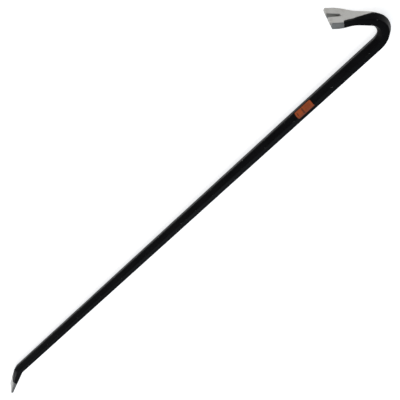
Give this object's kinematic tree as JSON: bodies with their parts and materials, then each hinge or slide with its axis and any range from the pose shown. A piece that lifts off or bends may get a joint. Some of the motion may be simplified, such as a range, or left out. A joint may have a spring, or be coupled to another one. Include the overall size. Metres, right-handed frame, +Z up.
{
  "type": "gooseneck wrecking bar",
  "caption": "Steel pry bar of hexagonal section, with a slotted nail claw on a gooseneck hook at one end and an offset flat chisel at the other.",
  "frame": {"origin": "under the middle of the whole bar's box, on the surface that the bar lies on", "axes": "+X along the shaft from the chisel to the hook, +Y the way the hook reaches, +Z up, along the claw's width"},
  "size_m": [1.2536, 0.1514, 0.0354],
  "materials": {
    "black_paint": "semi-gloss black paint over forged steel, with light chips and rubbed corners",
    "ground_steel": "bright steel with belt-grinding marks across the blade and a thin lacquer",
    "orange_vinyl": null
  },
  "bodies": {
    "root": {"claw_blade": "ground_steel", "claw_neck": "black_paint", "gooseneck_bend": "black_paint", "shaft": "black_paint", "chisel_heel": "black_paint", "chisel_neck": "black_paint", "chisel_blade": "ground_steel", "label": "orange_vinyl"}
  },
  "joints": []
}
